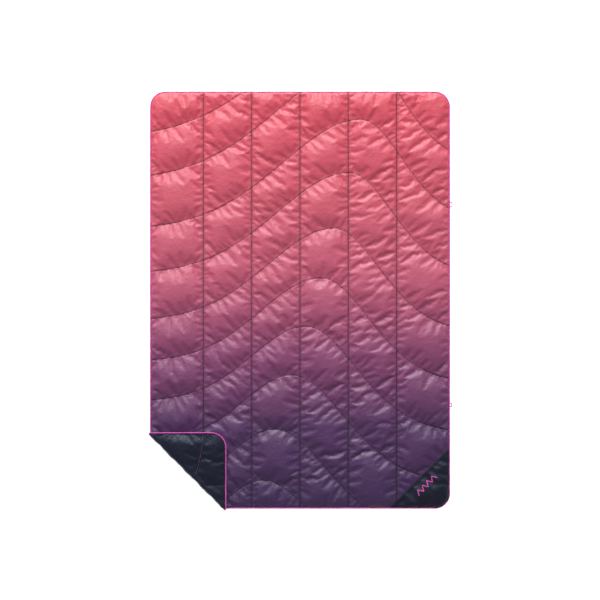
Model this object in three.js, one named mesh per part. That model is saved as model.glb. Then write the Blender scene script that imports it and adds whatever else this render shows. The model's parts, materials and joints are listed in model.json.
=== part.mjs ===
// A quilted camp blanket lying flat, with one corner turned over.
// Units are millimetres. +X is the width, +Y the length (towards the light-coloured end), +Z is up.
// The origin is the centre of the underside. The turned corner is at -X -Y.

import * as THREE from 'three';

// Driving sizes of the blanket.
const width = 1270;
const length = 1765;
const cornerRadius = 65;
const foldLeg = 325;            // how far along both edges the corner is turned over
const loft = 18;                // height of the quilt between its seams
const taperWidth = 40;          // the quilt thins over this distance towards the edge

// Cloth, binding and thread.
const clothThickness = 0.8;
const clearance = 0.3;          // between layers that touch
const bindingWidth = 4.5;
const bindingHeight = 6;
const bindingChamfer = 1.2;
const threadThickness = 0.4;
const threadWidth = 1.2;
const seamEndMargin = 1.5;      // from a seam's end to the binding, the fold or the patch

// Straight quilting seams, along Y.
const columnCount = 5;
const sideColumnWidth = 227;    // from the edge to the first seam

// Wave seams. They are drawn on a panel of this size and stretch with the blanket.
const drawnWidth = 1270;
const drawnLength = 1765;
const waveCrests = [
  [315, 1225], [280, 1010], [265, 765], [215, 540], [150, 305],
  [95, 95], [30, -110], [-30, -315], [-105, -545], [-155, -760],
];
const waveDatum = 2;            // the flanks below are those of this crest, counted from 0
const leftFlank = { drop: 467, dropStep: -37.5, reach: 477, reachStep: -37, power: 2 };
const rightFlank = { drop: 425, dropStep: 6, reach: 241, reachStep: 15, power: 1.86 };
const flapWave = 8;             // the one that crosses the turned corner, counted from 0
const waveStep = 40;            // longest straight piece of a wave seam
const shortestSeam = 25;

// Corner patch at +X -Y, with its stitching and its zigzag motif.
const patchLeg = 260;
const patchThickness = 0.4;
const patchStitchInset = 8;
const motifCentreFromCorner = 107;
const motifLength = 120;
const motifHeight = 22;
const motifPeaks = 4;
const motifStroke = 4;

// Hanging loops on the +X edge.
const loopTape = 3;
const loopThickness = 2;
const loopCornerRadius = 4;
const upperLoop = { name: 'side_loop_upper', y: 404, length: 24, proud: 9.5 };
const lowerLoop = { name: 'side_loop_lower', y: -443, length: 18, proud: 9 };

const arcSteps = 8;

// Levels above the ground.
const insulationBottom = clothThickness + clearance;
const firstThreadLevel = clearance;
const secondThreadLevel = firstThreadLevel + Math.max(threadThickness, patchThickness) + clearance;
const topOfQuilt = loft + secondThreadLevel + threadThickness;
const hingeHeight = topOfQuilt + clearance / 2;

// Lines of the turned corner (x + y = foldLine) and of the patch (x - y = patchLine).
const foldLine = -width / 2 - length / 2 + foldLeg;
const patchLine = width / 2 + length / 2 - patchLeg;

const finishes = {
  frontCloth: { color: '#a65f79', roughness: 0.42, metalness: 0 },
  backCloth: { color: '#232236', roughness: 0.4, metalness: 0 },
  patchCloth: { color: '#1d1c2c', roughness: 0.45, metalness: 0 },
  fibre: { color: '#eceae6', roughness: 0.95, metalness: 0 },
  binding: { color: '#c944a6', roughness: 0.6, metalness: 0 },
  seamThread: { color: '#5a2d4a', roughness: 0.7, metalness: 0 },
  brightThread: { color: '#cf4fae', roughness: 0.6, metalness: 0 },
};

function named(name, geometry, finish) {
  const mesh = new THREE.Mesh(geometry, new THREE.MeshStandardMaterial(finishes[finish]));
  mesh.name = name;
  return mesh;
}

// Outlines. Each runs anticlockwise and stays open along the fold or the patch's long side.

function corner(signX, signY, inset, startAngle) {
  const points = [];
  const radius = cornerRadius - inset;
  for (let i = 0; i <= arcSteps; i += 1) {
    const angle = startAngle + (Math.PI / 2) * (i / arcSteps);
    points.push([
      signX * (width / 2 - cornerRadius) + radius * Math.cos(angle),
      signY * (length / 2 - cornerRadius) + radius * Math.sin(angle),
    ]);
  }
  return points;
}

function mainOutline(inset) {
  const halfWidth = width / 2 - inset;
  const halfLength = length / 2 - inset;
  const line = foldLine + clearance * Math.SQRT2;
  return [
    [line + halfLength, -halfLength],
    ...corner(1, -1, inset, -Math.PI / 2),
    ...corner(1, 1, inset, 0),
    ...corner(-1, 1, inset, Math.PI / 2),
    [-halfWidth, line + halfWidth],
  ];
}

function flapOutline(inset) {
  const halfWidth = width / 2 - inset;
  const halfLength = length / 2 - inset;
  const line = foldLine - clearance * Math.SQRT2;
  return [[-halfWidth, line + halfWidth], ...corner(-1, -1, inset, Math.PI), [line + halfLength, -halfLength]];
}

function patchOutline(inset) {
  const halfWidth = width / 2 - inset;
  const halfLength = length / 2 - inset;
  return [
    [patchLine - halfLength, -halfLength],
    ...corner(1, -1, inset, -Math.PI / 2),
    [halfWidth, halfWidth - patchLine],
  ];
}

// Distance from a point to the blanket's edge, and the height of the front cloth there.

function edgeDistance(x, y) {
  const fromSide = width / 2 - Math.abs(x);
  const fromEnd = length / 2 - Math.abs(y);
  if (fromSide < cornerRadius && fromEnd < cornerRadius) {
    return cornerRadius - Math.hypot(cornerRadius - fromSide, cornerRadius - fromEnd);
  }
  return Math.min(fromSide, fromEnd);
}

const clothInset = bindingWidth + clearance;
const taperShares = [0, 0.3, 0.65, 1];
const taperStations = taperShares.map((share) => ({
  inset: clothInset + share * taperWidth,
  top: bindingHeight + (loft - bindingHeight) * Math.sin((share * Math.PI) / 2),
}));

function taperStep(x, y) {
  const inset = edgeDistance(x, y);
  return taperStations.filter((station) => station.inset < inset).length;
}

function frontHeight(x, y) {
  const next = Math.max(1, taperStep(x, y));
  if (next === taperStations.length) {
    return taperStations[next - 1].top;
  }
  const a = taperStations[next - 1];
  const b = taperStations[next];
  return a.top + ((edgeDistance(x, y) - a.inset) * (b.top - a.top)) / (b.inset - a.inset);
}

// Solids.

function solidFrom(vertices, triangles) {
  const geometry = new THREE.BufferGeometry();
  geometry.setAttribute('position', new THREE.Float32BufferAttribute(vertices.flat(), 3));
  geometry.setIndex(triangles.flat());
  geometry.computeVertexNormals();
  return geometry;
}

function quad(triangles, a, b, c, d) {
  triangles.push([a, b, c], [a, c, d]);
}

// A layer of the quilt between two surfaces that follow the outline inwards.
function layer(outlineAt, stations) {
  const vertices = [];
  const triangles = [];
  const rings = stations.map((station) => {
    const outline = outlineAt(station.inset);
    const bottom = outline.map(([x, y]) => vertices.push([x, y, station.bottom]) - 1);
    const top = outline.map(([x, y]) => vertices.push([x, y, station.top]) - 1);
    return { bottom, top };
  });
  const end = rings[0].top.length - 1;
  const inner = rings[rings.length - 1];
  for (let k = 0; k + 1 < rings.length; k += 1) {
    const outside = rings[k];
    const inside = rings[k + 1];
    for (let i = 0; i < end; i += 1) {
      quad(triangles, outside.top[i], outside.top[i + 1], inside.top[i + 1], inside.top[i]);
      quad(triangles, outside.bottom[i + 1], outside.bottom[i], inside.bottom[i], inside.bottom[i + 1]);
    }
    quad(triangles, outside.bottom[end], inside.bottom[end], inside.top[end], outside.top[end]);
    quad(triangles, inside.bottom[0], outside.bottom[0], outside.top[0], inside.top[0]);
  }
  quad(triangles, inner.bottom[end], inner.bottom[0], inner.top[0], inner.top[end]);
  for (let i = 0; i < end; i += 1) {
    const outer = rings[0];
    quad(triangles, outer.bottom[i], outer.bottom[i + 1], outer.top[i + 1], outer.top[i]);
  }
  for (let i = 1; i < end; i += 1) {
    triangles.push([inner.top[0], inner.top[i], inner.top[i + 1]]);
    triangles.push([inner.bottom[0], inner.bottom[i + 1], inner.bottom[i]]);
  }
  return solidFrom(vertices, triangles);
}

function backCloth(outlineAt) {
  return layer(outlineAt, [{ inset: clothInset, bottom: 0, top: clothThickness }]);
}

function fibreFill(outlineAt) {
  return layer(outlineAt, taperStations.map((station) => ({
    inset: station.inset,
    bottom: insulationBottom,
    top: station.top - clothThickness - clearance,
  })));
}

function frontCloth(outlineAt) {
  return layer(outlineAt, taperStations.map((station) => ({
    inset: station.inset,
    bottom: station.top - clothThickness,
    top: station.top,
  })));
}

function patchCloth() {
  return layer(patchOutline, taperStations.map((station) => ({
    inset: station.inset,
    bottom: station.top + firstThreadLevel,
    top: station.top + firstThreadLevel + patchThickness,
  })));
}

// The rolled binding around the edge, ending at the fold.
function edgeBinding(outlineAt) {
  const c = bindingChamfer;
  const w = bindingWidth;
  const h = bindingHeight;
  const section = [[0, h - c], [0, c], [c, 0], [w - c, 0], [w, c], [w, h - c], [w - c, h], [c, h]];
  const vertices = [];
  const triangles = [];
  const rings = section.map(([inset, z]) => outlineAt(inset).map(([x, y]) => vertices.push([x, y, z]) - 1));
  const end = rings[0].length - 1;
  rings.forEach((ring, k) => {
    const next = rings[(k + 1) % rings.length];
    for (let i = 0; i < end; i += 1) {
      quad(triangles, ring[i], next[i], next[i + 1], ring[i + 1]);
    }
  });
  for (let k = 1; k + 1 < rings.length; k += 1) {
    triangles.push([rings[0][end], rings[k][end], rings[k + 1][end]]);
    triangles.push([rings[0][0], rings[k + 1][0], rings[k][0]]);
  }
  return solidFrom(vertices, triangles);
}

// A flat ribbon along a route on the front cloth: a row of stitches or an embroidered line.
function ribbon(route, ribbonWidth, level) {
  const vertices = [];
  const triangles = [];
  route.forEach(([x, y], i) => {
    const before = route[Math.max(0, i - 1)];
    const after = route[Math.min(route.length - 1, i + 1)];
    const along = new THREE.Vector2(after[0] - before[0], after[1] - before[1]).normalize();
    const left = [x - (along.y * ribbonWidth) / 2, y + (along.x * ribbonWidth) / 2];
    const right = [x + (along.y * ribbonWidth) / 2, y - (along.x * ribbonWidth) / 2];
    for (const rise of [level, level + threadThickness]) {
      vertices.push([...left, frontHeight(...left) + rise]);
      vertices.push([...right, frontHeight(...right) + rise]);
    }
  });
  for (let i = 0; i + 1 < route.length; i += 1) {
    const a = 4 * i;
    const b = a + 4;
    quad(triangles, a + 2, a + 3, b + 3, b + 2);
    quad(triangles, a + 1, a, b, b + 1);
    quad(triangles, a, a + 2, b + 2, b);
    quad(triangles, a + 3, a + 1, b + 1, b + 3);
  }
  const last = 4 * (route.length - 1);
  quad(triangles, 0, 1, 3, 2);
  quad(triangles, last + 1, last, last + 2, last + 3);
  return solidFrom(vertices, triangles);
}

// Where seams may run.

const seamInset = clothInset + seamEndMargin;
const seamMargin = (seamEndMargin + clearance) * Math.SQRT2;

function onMain(x, y) {
  return edgeDistance(x, y) > seamInset && x + y > foldLine + seamMargin && x - y < patchLine - seamMargin;
}

function onFlap(x, y) {
  return edgeDistance(x, y) > seamInset && x + y < foldLine - seamMargin;
}

// The runs of a finely stepped line that lie where a test holds.
function runsOf(points, test) {
  const runs = [];
  let run = [];
  for (const point of points) {
    if (test(...point)) {
      run.push(point);
    } else if (run.length) {
      runs.push(run);
      run = [];
    }
  }
  if (run.length) {
    runs.push(run);
  }
  return runs.filter((each) => distance(each[0], each[each.length - 1]) > shortestSeam);
}

function distance(a, b) {
  return Math.hypot(a[0] - b[0], a[1] - b[1]);
}

// Fewer points: both ends, wherever the cloth's slope changes, and every so often between.
function thinned(run, step) {
  const kept = [run[0]];
  run.forEach((point, i) => {
    const atBend = i > 0 && taperStep(...point) !== taperStep(...run[i - 1]);
    const atEnd = i === run.length - 1;
    if (atBend || atEnd || distance(kept[kept.length - 1], point) >= step) {
      kept.push(point);
    }
  });
  return kept;
}

function columnLine(x) {
  const points = [];
  for (let y = length / 2; y > -length / 2; y -= 1) {
    points.push([x, y]);
  }
  return points;
}

// Height of a wave seam above the drawn panel's middle: a crest with a bell-shaped flank on each side.
function waveHeight(index, x) {
  const [crestX, crestY] = waveCrests[index];
  const flank = x < crestX ? leftFlank : rightFlank;
  const step = index - waveDatum;
  const reach = flank.reach + flank.reachStep * step;
  const drop = flank.drop + flank.dropStep * step;
  return crestY - drop * (1 - Math.exp(-((Math.abs(x - crestX) / reach) ** flank.power)));
}

function waveLine(index) {
  const points = [];
  for (let x = -width / 2; x <= width / 2; x += 1) {
    points.push([x, (waveHeight(index, (x * drawnWidth) / width) * length) / drawnLength]);
  }
  return points;
}

function columnSeams(prefix, test) {
  const meshes = [];
  const spacing = (width - 2 * sideColumnWidth) / (columnCount - 1);
  for (let i = 0; i < columnCount; i += 1) {
    const x = -width / 2 + sideColumnWidth + i * spacing;
    const [run] = runsOf(columnLine(x), test);
    if (run) {
      const route = thinned(run, length);
      meshes.push(named(`${prefix}_${i + 1}`, ribbon(route, threadWidth, firstThreadLevel), 'seamThread'));
    }
  }
  return meshes;
}

function waveSeams() {
  const meshes = [];
  waveCrests.forEach((crest, index) => {
    runsOf(waveLine(index), onMain).forEach((run, part) => {
      const name = `wave_seam_${index + 1}${part ? '_right' : ''}`;
      const route = thinned(run, waveStep);
      meshes.push(named(name, ribbon(route, threadWidth, secondThreadLevel), 'seamThread'));
    });
  });
  return meshes;
}

function flapSeams() {
  const [run] = runsOf(waveLine(flapWave), onFlap);
  const route = thinned(run, waveStep);
  return [
    ...columnSeams('flap_column_seam', onFlap),
    named('flap_wave_seam', ribbon(route, threadWidth, secondThreadLevel), 'brightThread'),
  ];
}

// The row of stitches along the patch's long side.
function patchStitching() {
  const line = patchLine + patchStitchInset * Math.SQRT2;
  const points = [];
  for (let x = line - length / 2; x <= width / 2; x += 1) {
    points.push([x, x - line]);
  }
  const [run] = runsOf(points, (x, y) => edgeDistance(x, y) > seamInset);
  return named('patch_stitching', ribbon(thinned(run, length), threadWidth, secondThreadLevel), 'seamThread');
}

// A plain zigzag line, embroidered on the patch along the diagonal.
function patchMotif() {
  const centre = [width / 2 - motifCentreFromCorner, -length / 2 + motifCentreFromCorner];
  const outline = (side) => {
    const points = [];
    for (let i = 0; i <= 2 * motifPeaks; i += 1) {
      const along = (i / (2 * motifPeaks) - 0.5) * motifLength;
      const across = (i % 2 ? 0.5 : -0.5) * motifHeight + side * motifStroke;
      points.push([(along - across) * Math.SQRT1_2, (along + across) * Math.SQRT1_2]);
    }
    return points;
  };
  const shape = new THREE.Shape();
  const loop = [...outline(-0.5), ...outline(0.5).reverse()];
  shape.setFromPoints(loop.map(([x, y]) => new THREE.Vector2(x, y)));
  const geometry = new THREE.ExtrudeGeometry(shape, { depth: threadThickness, bevelEnabled: false });
  const mesh = named('patch_motif', geometry, 'brightThread');
  mesh.position.set(centre[0], centre[1], loft + secondThreadLevel);
  return mesh;
}

// A loop of tape with both ends at the binding.
function sideLoop({ name, y, length: span, proud }) {
  const half = span / 2;
  const r = loopCornerRadius;
  const inner = half - loopTape;
  const depth = proud - loopTape;
  const shape = new THREE.Shape();
  shape.moveTo(0, -half);
  shape.lineTo(proud - r, -half);
  shape.absarc(proud - r, -half + r, r, -Math.PI / 2, 0, false);
  shape.lineTo(proud, half - r);
  shape.absarc(proud - r, half - r, r, 0, Math.PI / 2, false);
  shape.lineTo(0, half);
  shape.lineTo(0, inner);
  shape.lineTo(depth - (r - loopTape), inner);
  shape.absarc(proud - r, half - r, r - loopTape, Math.PI / 2, 0, true);
  shape.lineTo(depth, -inner + (r - loopTape));
  shape.absarc(proud - r, -half + r, r - loopTape, 0, -Math.PI / 2, true);
  shape.lineTo(0, -inner);
  const settings = { depth: loopThickness, bevelEnabled: false, curveSegments: 4 };
  const mesh = named(name, new THREE.ExtrudeGeometry(shape, settings), 'binding');
  mesh.position.set(width / 2 + clearance, y, (bindingHeight - loopThickness) / 2);
  return mesh;
}

// The turned corner is made flat, then swung half a turn about the fold.
function turnedCorner() {
  const pivot = new THREE.Vector3(foldLine / 2, foldLine / 2, hingeHeight);
  const swing = new THREE.Group();
  swing.position.copy(pivot);
  swing.setRotationFromAxisAngle(new THREE.Vector3(1, -1, 0).normalize(), Math.PI);
  const flat = new THREE.Group();
  flat.position.copy(pivot).negate();
  flat.add(
    named('flap_back_shell', backCloth(flapOutline), 'backCloth'),
    named('flap_insulation', fibreFill(flapOutline), 'fibre'),
    named('flap_front_shell', frontCloth(flapOutline), 'frontCloth'),
    named('flap_edge_binding', edgeBinding(flapOutline), 'binding'),
    ...flapSeams(),
  );
  swing.add(flat);
  return swing;
}

const blanket = new THREE.Group();
blanket.add(
  named('back_shell', backCloth(mainOutline), 'backCloth'),
  named('insulation', fibreFill(mainOutline), 'fibre'),
  named('front_shell', frontCloth(mainOutline), 'frontCloth'),
  named('edge_binding', edgeBinding(mainOutline), 'binding'),
  ...columnSeams('column_seam', onMain),
  ...waveSeams(),
  named('corner_patch', patchCloth(), 'patchCloth'),
  patchStitching(),
  patchMotif(),
  sideLoop(upperLoop),
  sideLoop(lowerLoop),
  turnedCorner(),
);

export default blanket;
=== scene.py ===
"""The quilted camp blanket, lying flat with one corner turned over.

The cloth is worked out flat, on one net of points that spans the whole blanket as it was cut. The seams
and the edge hold the net down, spare cloth and lift raise the puffs and puckers by cloth simulation, and
the net is then parted at the fold: the turned corner is laid over, and short strips go round the fold.
"""

import json
import math

import bpy
import numpy as np
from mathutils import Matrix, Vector
from mathutils.bvhtree import BVHTree
from mathutils.kdtree import KDTree


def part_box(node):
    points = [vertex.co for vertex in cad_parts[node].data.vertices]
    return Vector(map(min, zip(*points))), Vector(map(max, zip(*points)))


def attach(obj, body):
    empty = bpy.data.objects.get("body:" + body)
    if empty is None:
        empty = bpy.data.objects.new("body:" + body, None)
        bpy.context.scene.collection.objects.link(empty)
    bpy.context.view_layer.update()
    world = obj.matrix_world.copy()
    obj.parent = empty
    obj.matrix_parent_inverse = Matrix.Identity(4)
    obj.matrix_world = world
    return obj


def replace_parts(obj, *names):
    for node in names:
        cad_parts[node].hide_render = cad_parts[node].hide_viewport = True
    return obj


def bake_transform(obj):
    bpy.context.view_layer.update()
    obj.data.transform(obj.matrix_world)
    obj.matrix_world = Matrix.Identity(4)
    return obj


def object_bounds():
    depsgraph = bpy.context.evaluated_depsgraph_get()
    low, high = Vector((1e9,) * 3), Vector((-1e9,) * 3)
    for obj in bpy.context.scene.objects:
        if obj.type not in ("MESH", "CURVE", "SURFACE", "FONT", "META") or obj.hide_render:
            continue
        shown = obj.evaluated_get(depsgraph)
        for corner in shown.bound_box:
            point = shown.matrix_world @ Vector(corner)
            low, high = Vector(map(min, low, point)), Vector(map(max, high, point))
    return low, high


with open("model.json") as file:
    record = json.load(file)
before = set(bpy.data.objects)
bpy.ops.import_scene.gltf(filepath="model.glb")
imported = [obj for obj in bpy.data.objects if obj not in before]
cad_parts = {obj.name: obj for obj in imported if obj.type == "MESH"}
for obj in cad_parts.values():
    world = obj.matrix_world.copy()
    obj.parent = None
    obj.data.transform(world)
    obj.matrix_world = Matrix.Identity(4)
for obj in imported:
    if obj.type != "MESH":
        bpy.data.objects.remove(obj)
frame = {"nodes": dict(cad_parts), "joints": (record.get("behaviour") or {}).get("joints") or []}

bl_info = {
    "name": "Quilted camp blanket",
    "version": (1, 0, 0),
    "blender": (4, 5, 0),
    "location": "View3D > Sidebar > Blanket",
    "description": "Builds a quilted camp blanket with wave seams and one corner turned over",
    "category": "Add Mesh",
}

CAD_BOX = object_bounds()
BLANKET, CORNER = "blanket", "turned_corner"
HALF_WIDTH, HALF_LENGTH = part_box("edge_binding")[1][:2]
HINGE = frame["joints"][0]
HINGE_HEIGHT = HINGE["pos_m"][2]
FOLD_SUM = 2 * HINGE["pos_m"][0]  # x + y along the fold
PATCH_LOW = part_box("corner_patch")[0]
PATCH_GAP = PATCH_LOW.x - PATCH_LOW.y  # x - y along the patch's long side
COLUMNS = [n for n in frame["nodes"] if n.startswith("column_seam")]
WAVES = [n for n in frame["nodes"] if n.startswith("wave_seam")]
FLAP_SEAMS = [n for n in frame["nodes"] if n.startswith("flap_") and "_seam" in n]
UP = np.array([0.0, 0.0, 1.0])
quilt = {}  # what the operators share: the net of cloth points and the finished surfaces


# Settings

class ClothSettings(bpy.types.PropertyGroup):
    cell: bpy.props.FloatProperty(
        name="Net spacing", description="Distance between cloth points", default=0.005, unit="LENGTH")
    corner_radius: bpy.props.FloatProperty(
        name="Corner radius", description="Radius of the blanket's corners",
        default=0.065, unit="LENGTH")
    front_seam: bpy.props.FloatProperty(
        name="Front seam height", description="Height of the front cloth at a seam",
        default=0.0068, unit="LENGTH")
    back_seam: bpy.props.FloatProperty(
        name="Back seam height", description="Height of the back cloth at a seam",
        default=0.0056, unit="LENGTH")
    spare_cloth: bpy.props.FloatProperty(
        name="Spare cloth", description="Share of extra cloth between seams",
        default=0.03, subtype="FACTOR")
    lift: bpy.props.FloatProperty(
        name="Lift", description="Upward pull of the fill on the cloth",
        default=2.0, unit="ACCELERATION")
    drag: bpy.props.FloatProperty(
        name="Drag", description="How far the cloth is drawn along the seams",
        default=0.0075, unit="LENGTH")
    frames: bpy.props.IntProperty(
        name="Frames", description="Length of the cloth simulation", default=20)
    front_share: bpy.props.FloatProperty(
        name="Front puff share", description="Share of the swelling kept on the front",
        default=0.8, subtype="FACTOR")
    back_share: bpy.props.FloatProperty(
        name="Back puff share", description="Share of the swelling kept on the back",
        default=0.36, subtype="FACTOR")
    wrinkle_gain: bpy.props.FloatProperty(
        name="Wrinkle gain", description="How much further the wrinkles stand out than the puffs",
        default=0.35)
    puff_spread: bpy.props.IntProperty(
        name="Puff smoothing", description="Smoothing passes that part puffs from wrinkles", default=14)


class EdgeSettings(bpy.types.PropertyGroup):
    tape_width: bpy.props.FloatProperty(
        name="Binding width", description="How far the binding covers the edge",
        default=0.005, unit="LENGTH")
    tape_height: bpy.props.FloatProperty(
        name="Binding height", description="Thickness of the bound edge", default=0.0068, unit="LENGTH")
    tape_middle: bpy.props.FloatProperty(
        name="Binding centre", description="Height of the bound edge's centre",
        default=0.0044, unit="LENGTH")
    rim_inset: bpy.props.FloatProperty(
        name="Rim inset", description="How far the cloth ends inside the edge",
        default=0.002, unit="LENGTH")
    corner_sag: bpy.props.FloatProperty(
        name="Turned corner sag", description="How far the turned corner's edge drops",
        default=0.008, unit="LENGTH")
    fold_squeeze: bpy.props.FloatProperty(
        name="Fold squeeze", description="Width of the fold over its height",
        default=0.55, subtype="FACTOR")
    loop_tape: bpy.props.FloatProperty(
        name="Loop tape width", description="Width of the hanging loops' tape",
        default=0.0042, unit="LENGTH")
    loop_thickness: bpy.props.FloatProperty(
        name="Loop tape thickness", description="Thickness of the loops' tape",
        default=0.002, unit="LENGTH")


class StitchSettings(bpy.types.PropertyGroup):
    length: bpy.props.FloatProperty(
        name="Stitch length", description="Length of one stitch", default=0.0038, unit="LENGTH")
    pitch: bpy.props.FloatProperty(
        name="Stitch pitch", description="Distance from stitch to stitch", default=0.0046, unit="LENGTH")
    thread: bpy.props.FloatProperty(
        name="Thread thickness", description="Diameter of the sewing thread",
        default=0.0011, unit="LENGTH")
    motif_peaks: bpy.props.IntProperty(
        name="Motif peaks", description="Peaks of the embroidered zigzag", default=4)
    motif_stroke: bpy.props.FloatProperty(
        name="Motif stroke", description="Width of the embroidered line", default=0.0046, unit="LENGTH")


def colour(name, description, default):
    return bpy.props.FloatVectorProperty(
        name=name, description=description, default=default, subtype="COLOR", min=0.0, max=1.0)


class ColourSettings(bpy.types.PropertyGroup):
    coral: colour("Coral", "Front cloth at the light end", (0.505, 0.040, 0.070))
    rose: colour("Rose", "Front cloth a quarter of the way down", (0.480, 0.056, 0.096))
    mauve: colour("Mauve", "Front cloth at the middle", (0.430, 0.066, 0.128))
    plum: colour("Plum", "Front cloth past the middle", (0.200, 0.034, 0.118))
    violet: colour("Violet", "Front cloth near the dark end", (0.066, 0.014, 0.090))
    deep_violet: colour("Deep violet", "Front cloth at the dark end", (0.034, 0.006, 0.070))
    navy: colour("Navy", "Back cloth", (0.0045, 0.0045, 0.0170))
    patch: colour("Patch", "Corner patch", (0.0040, 0.0042, 0.0150))
    magenta: colour("Magenta", "Binding, loops and embroidery", (0.600, 0.060, 0.395))
    fill: colour("Fill", "Insulation", (0.82, 0.81, 0.78))
    floor: colour("Floor", "Studio floor", (0.90, 0.90, 0.90))


class StageSettings(bpy.types.PropertyGroup):
    view_width: bpy.props.FloatProperty(
        name="View width", description="Width of floor that the camera takes in",
        default=2.532, unit="LENGTH")
    lens: bpy.props.FloatProperty(
        name="Lens", description="Focal length of the camera", default=120.0, unit="CAMERA")
    key_power: bpy.props.FloatProperty(
        name="Key light", description="Power of the softbox past the light end",
        default=880.0, unit="POWER")
    top_power: bpy.props.FloatProperty(
        name="Top light", description="Power of the overhead softbox", default=6.0, unit="POWER")
    sky: bpy.props.FloatProperty(
        name="Room light", description="Strength of the even light from all round", default=0.13)
    floor_glow: bpy.props.FloatProperty(
        name="Floor glow", description="Light given off by the floor itself", default=0.9)


SETTINGS = {
    "blanket_cloth": ClothSettings,
    "blanket_edge": EdgeSettings,
    "blanket_stitch": StitchSettings,
    "blanket_colour": ColourSettings,
    "blanket_stage": StageSettings,
}


def settings(name):
    """One group of the settings above, as kept on the scene."""
    return getattr(bpy.context.scene, "blanket_" + name)


# Small sums

def smoothstep(t):
    """An even ease from 0 to 1."""
    t = np.clip(t, 0.0, 1.0)
    return t * t * (3 - 2 * t)


def mixed(a, b, share):
    """a, moved towards b by a share of the way."""
    return a + (b - a) * share


def limited(z, top, room):
    """z, eased off over the last stretch of room below top, so that it never passes top."""
    start = top - room
    return np.where(z > start, start + room * (1 - np.exp(-(np.maximum(z, start) - start) / room)), z)


def resampled(points, step):
    """The polyline's points at an even step."""
    legs = np.linalg.norm(np.diff(points, axis=0), axis=1)
    run = np.concatenate([[0], np.cumsum(legs)])
    at = np.linspace(0, run[-1], max(2, int(round(run[-1] / step)) + 1))
    return np.stack([np.interp(at, run, points[:, k]) for k in range(points.shape[1])], 1)


def past_fold(x, y):
    """Distance from the fold, positive on the part that stays down."""
    return (x + y - FOLD_SUM) / math.sqrt(2)


def edge_distance(x, y):
    """Distance from the edge of the cut, positive inside."""
    side, end = HALF_WIDTH - np.abs(x), HALF_LENGTH - np.abs(y)
    r = settings("cloth").corner_radius
    corner = r - np.hypot(r - side, r - end)
    return np.where((side < r) & (end < r), corner, np.minimum(side, end))


def laid_over(points):
    """Points of the flat cut, carried half a turn about the fold."""
    x, y, z = points.T
    return np.stack([FOLD_SUM - y, FOLD_SUM - x, 2 * HINGE_HEIGHT - z], 1)


# The net of cloth points

def seam_route(name):
    """A seam's middle line on the flat cut, from its CAD ribbon."""
    corners = np.array([v.co[:2] for v in frame["nodes"][name].data.vertices])
    if name.startswith("flap_"):
        corners = np.stack([FOLD_SUM - corners[:, 1], FOLD_SUM - corners[:, 0]], 1)
    key = int(np.ptp(corners[:, 1]) > np.ptp(corners[:, 0]) and "column" in name)
    corners = corners[np.argsort(corners[:, key])]
    same_station = 0.0025
    groups = np.split(corners, np.where(np.diff(corners[:, key]) > same_station)[0] + 1)
    return np.array([g.mean(0) for g in groups])


def run_on(route, length=0.02):
    """The route with both ends carried on straight."""
    first, last = route[0] - route[1], route[-1] - route[-2]
    return np.vstack([
        route[0] + first / np.linalg.norm(first) * length,
        route,
        route[-1] + last / np.linalg.norm(last) * length,
    ])


def pull_to_seam(net, route):
    """Moves the net's points that a seam passes onto it, holds them, and returns them in order."""
    fine = resampled(run_on(route), 0.0005)
    across, along = (fine[:, 0] + HALF_WIDTH) / net["cell"], (fine[:, 1] + HALF_LENGTH) / net["cell"]
    chain = []
    for k in range(len(fine) - 1):
        du, dv = across[k + 1] - across[k], along[k + 1] - along[k]
        lead, other, steep = (along, across, True) if abs(dv) > abs(du) else (across, along, False)
        low, high = sorted((lead[k], lead[k + 1]))
        line = math.floor(high)
        if not low < line <= high:
            continue
        met = other[k] + (line - lead[k]) / (lead[k + 1] - lead[k]) * (other[k + 1] - other[k])
        i, j = (int(round(met)), line) if steep else (line, int(round(met)))
        if not (0 <= i < net["x"].shape[0] and 0 <= j < net["x"].shape[1]):
            continue
        if steep:
            net["x"][i, j] = met * net["cell"] - HALF_WIDTH
        else:
            net["y"][i, j] = met * net["cell"] - HALF_LENGTH
        net["held"][i, j] = True
        chain.append((i, j))
    return chain


def trim_corners(net):
    """Drops the points outside the rounded corners and brings the nearest ones to the arcs."""
    r, reach = settings("cloth").corner_radius, 0.6 * net["cell"]
    for sx in (-1, 1):
        for sy in (-1, 1):
            dx, dy = net["x"] - sx * (HALF_WIDTH - r), net["y"] - sy * (HALF_LENGTH - r)
            out = np.hypot(dx, dy)
            quarter = (sx * dx > 0) & (sy * dy > 0)
            near = quarter & (np.abs(out - r) <= reach)
            net["inside"] &= ~(quarter & (out > r + reach))
            net["x"][near] += dx[near] * (r / out[near] - 1)
            net["y"][near] += dy[near] * (r / out[near] - 1)
            net["held"] |= near


def make_net():
    """The flat cut as a net of points: where they are, which are held, and which lie on each seam."""
    cell = settings("cloth").cell
    columns, rows = round(2 * HALF_WIDTH / cell), round(2 * HALF_LENGTH / cell)
    i, j = np.meshgrid(np.arange(columns + 1), np.arange(rows + 1), indexing="ij")
    net = {"cell": cell, "i": i, "j": j}
    net["x"], net["y"] = i * cell - HALF_WIDTH, j * cell - HALF_LENGTH
    net["inside"] = np.ones(i.shape, bool)
    net["held"] = (i == 0) | (i == columns) | (j == 0) | (j == rows)
    net["fold_row"] = round((FOLD_SUM + HALF_WIDTH + HALF_LENGTH) / cell)
    net["patch_row"] = round((PATCH_GAP + HALF_WIDTH - HALF_LENGTH) / cell)
    net["held"] |= (i - j == net["patch_row"]) & (net["x"] > 0) & (net["y"] < 0)
    net["chains"] = {name: pull_to_seam(net, seam_route(name)) for name in COLUMNS + WAVES + FLAP_SEAMS}
    trim_corners(net)
    net["number"] = np.where(net["inside"], np.cumsum(net["inside"]).reshape(i.shape) - 1, -1)
    return net


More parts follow.
